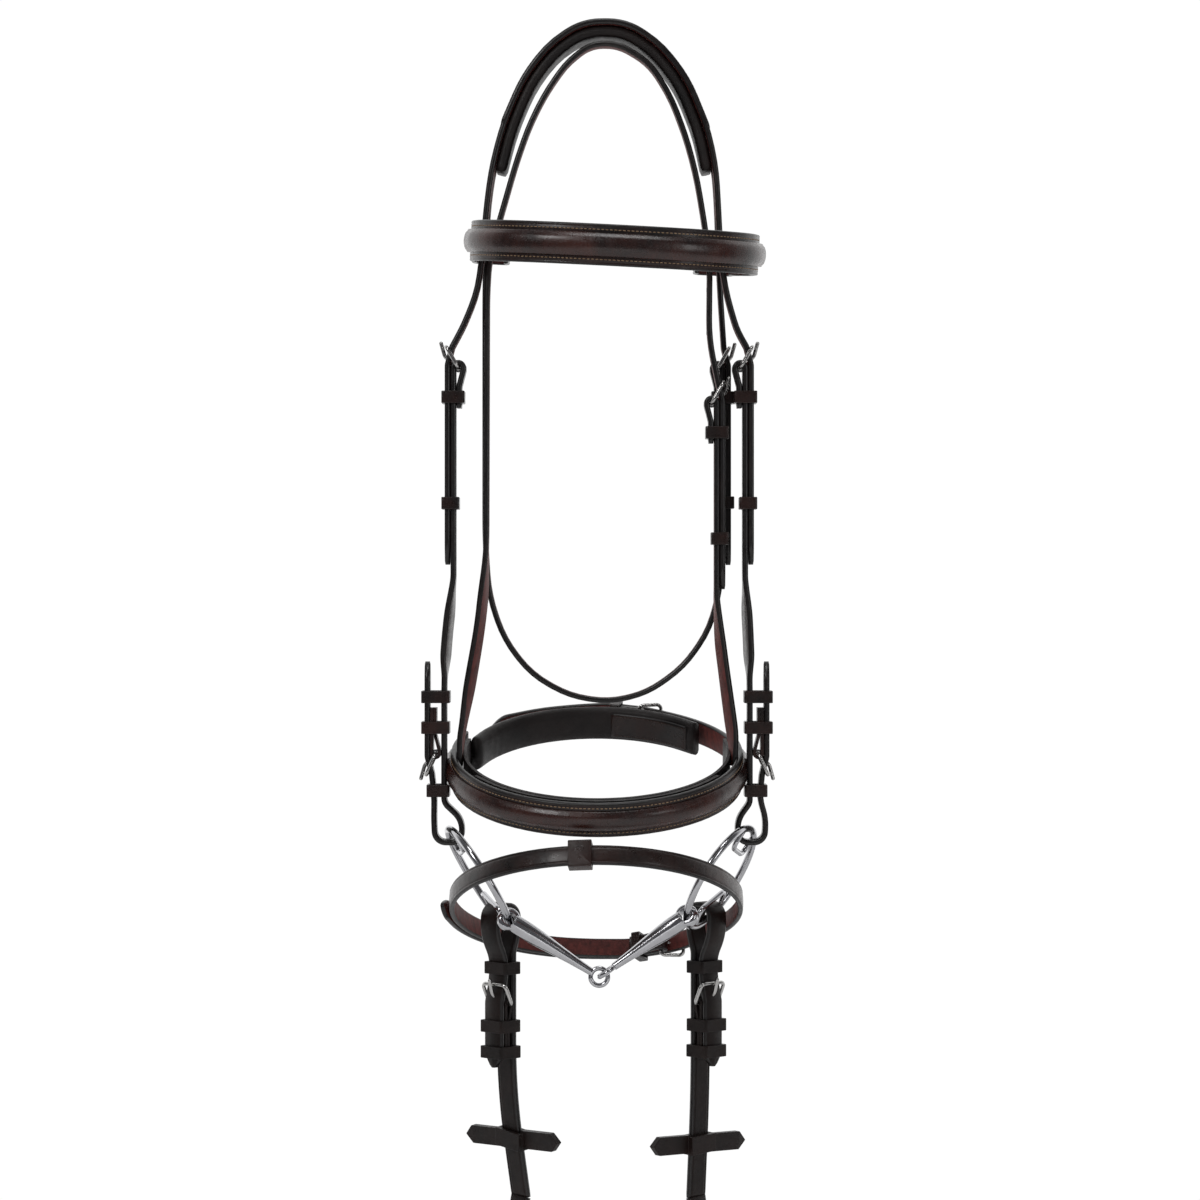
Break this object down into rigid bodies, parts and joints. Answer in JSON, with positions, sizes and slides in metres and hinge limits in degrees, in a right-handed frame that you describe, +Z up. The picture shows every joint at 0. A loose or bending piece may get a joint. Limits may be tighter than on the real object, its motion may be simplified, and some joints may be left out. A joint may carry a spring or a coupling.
{
  "type": "snaffle bridle",
  "caption": "Leather snaffle bridle with padded headpiece, raised browband, flash noseband, jointed bit and buckled reins with rein stops.",
  "frame": {"origin": "underside of the sliphead at the poll, where the bridle hangs on its hook", "axes": "+Z up, -Y towards the viewer (the face of the bridle), +X towards the horse's left side"},
  "size_m": [0.2321, 0.2146, 1.087],
  "materials": {
    "strap_leather": "satin",
    "rein_leather": "satin",
    "lining_leather": "soft",
    "padding": "soft",
    "bit_steel": "polished",
    "buckle_steel": "polished"
  },
  "bodies": {
    "headstall": {"headpiece": "strap_leather", "crown_pad": "padding", "sliphead": "strap_leather", "hanger_lower_right": "strap_leather", "noseband": "strap_leather", "noseband_core": "padding", "noseband_lining": "lining_leather", "noseband_rear_strap": "strap_leather", "chin_pad": "lining_leather", "flash_loop": "strap_leather", "cheekpiece_left": "strap_leather", "cheekpiece_right": "strap_leather", "buckles_cheek": "buckle_steel", "buckles_bit": "buckle_steel", "buckle_noseband": "buckle_steel", "buckle_hanger": "buckle_steel", "buckle_throatlash": "buckle_steel", "chapes_headstall": "strap_leather", "keepers_headstall": "strap_leather"},
    "browband": {"browband": "strap_leather", "browband_pad": "lining_leather"},
    "flash": {"flash_strap": "strap_leather", "buckle_flash": "buckle_steel", "keeper_flash": "strap_leather"},
    "ring_left": {"bit_ring_left": "bit_steel"},
    "ring_right": {"bit_ring_right": "bit_steel"},
    "arm_left": {"mouth_arm_left": "bit_steel"},
    "arm_right": {"mouth_arm_right": "bit_steel"},
    "reins": {"rein_end_left": "rein_leather", "rein_end_right": "rein_leather", "rein_hand_left": "rein_leather", "rein_hand_right": "rein_leather", "rein_coil": "rein_leather", "coil_ties": "rein_leather", "rein_centre_ends": "rein_leather", "buckles_rein": "buckle_steel", "buckle_rein_centre": "buckle_steel", "chapes_reins": "rein_leather", "keepers_reins": "rein_leather"},
    "tongue_cheek_left": {"tongue_cheek_left": "buckle_steel"},
    "tongue_cheek_right": {"tongue_cheek_right": "buckle_steel"},
    "tongue_throatlash": {"tongue_throatlash": "buckle_steel"},
    "tongue_bit_left": {"tongue_bit_left": "buckle_steel"},
    "tongue_bit_right": {"tongue_bit_right": "buckle_steel"},
    "tongue_noseband": {"tongue_noseband": "buckle_steel"},
    "tongue_hanger": {"tongue_hanger": "buckle_steel"},
    "tongue_flash": {"tongue_flash": "buckle_steel"},
    "tongue_rein_left": {"tongue_rein_left": "buckle_steel"},
    "tongue_rein_right": {"tongue_rein_right": "buckle_steel"},
    "tongue_rein_centre": {"tongue_rein_centre": "buckle_steel"},
    "runner_cheek_left": {"runner_cheek_left": "strap_leather"},
    "runner_cheek_right": {"runner_cheek_right": "strap_leather"},
    "runner_hanger": {"runner_hanger": "strap_leather"},
    "runner_throatlash": {"runner_throatlash": "strap_leather"},
    "runner_bit_left": {"runner_bit_left": "strap_leather"},
    "runner_bit_right": {"runner_bit_right": "strap_leather"},
    "runner_rein_left": {"runner_rein_left": "rein_leather"},
    "runner_rein_right": {"runner_rein_right": "rein_leather"},
    "rein_stop_left": {"rein_stop_left": "rein_leather"},
    "rein_stop_right": {"rein_stop_right": "rein_leather"}
  },
  "joints": [
    {"name": "browband_slide", "type": "slide", "parent": "headstall", "child": "browband", "axis": [0, 0, 1], "range_m": [-0.004, 0.004]},
    {"name": "flash_swing", "type": "hinge", "parent": "headstall", "child": "flash", "pos_m": [-0.01538, -0.09669, -0.52022], "axis": [0.9945, -0.0957, 0.042], "range_deg": [-1.5, 1.5]},
    {"name": "tongue_cheek_left_lift", "type": "hinge", "parent": "headstall", "child": "tongue_cheek_left", "pos_m": [-0.09515, -0.01, -0.209], "axis": [0, -1, 0], "range_deg": [0, 12]},
    {"name": "tongue_cheek_right_lift", "type": "hinge", "parent": "headstall", "child": "tongue_cheek_right", "pos_m": [0.08825, -0.01, -0.209], "axis": [0, 1, 0], "range_deg": [0, 12]},
    {"name": "tongue_throatlash_lift", "type": "hinge", "parent": "headstall", "child": "tongue_throatlash", "pos_m": [0.07425, 0.0135, -0.208], "axis": [0, 1, 0], "range_deg": [0, 12]},
    {"name": "tongue_bit_left_lift", "type": "hinge", "parent": "headstall", "child": "tongue_bit_left", "pos_m": [-0.10985, -0.01, -0.46], "axis": [0, 1, 0], "range_deg": [0, 12]},
    {"name": "tongue_bit_right_lift", "type": "hinge", "parent": "headstall", "child": "tongue_bit_right", "pos_m": [0.09995, -0.01, -0.46], "axis": [0, -1, 0], "range_deg": [0, 12]},
    {"name": "tongue_noseband_lift", "type": "hinge", "parent": "headstall", "child": "tongue_noseband", "pos_m": [0.02334, 0.07344, -0.44118], "axis": [0, -0.342, 0.9397], "range_deg": [0, 12]},
    {"name": "tongue_hanger_lift", "type": "hinge", "parent": "headstall", "child": "tongue_hanger", "pos_m": [0.06975, -0.01, -0.232], "axis": [0, 1, 0], "range_deg": [0, 4]},
    {"name": "tongue_flash_lift", "type": "hinge", "parent": "flash", "child": "tongue_flash", "pos_m": [0.03744, 0.06052, -0.58923], "axis": [0, 0.4019, 0.9157], "range_deg": [0, 12]},
    {"name": "tongue_rein_left_lift", "type": "hinge", "parent": "reins", "child": "tongue_rein_left", "pos_m": [-0.06819, 0.0056, -0.62521], "axis": [0.7071, -0.7071, 0], "range_deg": [0, 12]},
    {"name": "tongue_rein_right_lift", "type": "hinge", "parent": "reins", "child": "tongue_rein_right", "pos_m": [0.06682, 0.00898, -0.62476], "axis": [0.7071, 0.7071, 0], "range_deg": [0, 12]},
    {"name": "tongue_rein_centre_lift", "type": "hinge", "parent": "reins", "child": "tongue_rein_centre", "pos_m": [0.001, 0.0085, -1.03325], "axis": [0, -1, 0], "range_deg": [0, 12]},
    {"name": "runner_cheek_left_slide", "type": "slide", "parent": "headstall", "child": "runner_cheek_left", "axis": [0, 0, 1], "range_m": [-0.006, 0.01]},
    {"name": "runner_cheek_right_slide", "type": "slide", "parent": "headstall", "child": "runner_cheek_right", "axis": [0, 0, 1], "range_m": [-0.006, 0.01]},
    {"name": "runner_hanger_slide", "type": "slide", "parent": "headstall", "child": "runner_hanger", "axis": [0, 0, 1], "range_m": [-0.006, 0.01]},
    {"name": "runner_throatlash_slide", "type": "slide", "parent": "headstall", "child": "runner_throatlash", "axis": [0, 0, 1], "range_m": [-0.006, 0.01]},
    {"name": "runner_bit_left_slide", "type": "slide", "parent": "headstall", "child": "runner_bit_left", "axis": [0, 0, 1], "range_m": [-0.006, 0.004]},
    {"name": "runner_bit_right_slide", "type": "slide", "parent": "headstall", "child": "runner_bit_right", "axis": [0, 0, 1], "range_m": [-0.006, 0.004]},
    {"name": "runner_rein_left_slide", "type": "slide", "parent": "reins", "child": "runner_rein_left", "axis": [0, 0, 1], "range_m": [-0.003, 0.006]},
    {"name": "runner_rein_right_slide", "type": "slide", "parent": "reins", "child": "runner_rein_right", "axis": [0, 0, 1], "range_m": [-0.003, 0.006]},
    {"name": "ring_left_swing", "type": "hinge", "parent": "headstall", "child": "ring_left", "pos_m": [-0.1017, -0.01, -0.5095], "axis": [1, 0, 0], "range_deg": [-5, 5]},
    {"name": "ring_right_swing", "type": "hinge", "parent": "headstall", "child": "ring_right", "pos_m": [0.0955, -0.01, -0.5095], "axis": [1, 0, 0], "range_deg": [-5, 5]},
    {"name": "arm_left_swing", "type": "hinge", "parent": "ring_left", "child": "arm_left", "pos_m": [-0.06203, -0.03081, -0.5665], "axis": [0.9998, 0.0009, 0.0195], "range_deg": [-3, 3]},
    {"name": "arm_right_swing", "type": "hinge", "parent": "ring_right", "child": "arm_right", "pos_m": [0.05311, -0.0307, -0.56425], "axis": [0.9998, 0.0009, 0.0195], "range_deg": [-3, 3]},
    {"name": "reins_swing", "type": "hinge", "parent": "ring_left", "child": "reins", "pos_m": [-0.06808, 0.00571, -0.5702], "axis": [0.9997, 0.025, 0.0033], "range_deg": [-4, 4]},
    {"name": "rein_stop_left_slide", "type": "slide", "parent": "reins", "child": "rein_stop_left", "axis": [-0.1291, -0.1291, 0.9832], "range_m": [-0.008, 0.006]},
    {"name": "rein_stop_right_slide", "type": "slide", "parent": "reins", "child": "rein_stop_right", "axis": [0.0403, -0.0403, 0.9984], "range_m": [-0.008, 0.006]}
  ],
  "couplings": [
    {"joint": "ring_right_swing", "follows": "ring_left_swing", "ratio": 1},
    {"joint": "arm_right_swing", "follows": "arm_left_swing", "ratio": 1}
  ]
}
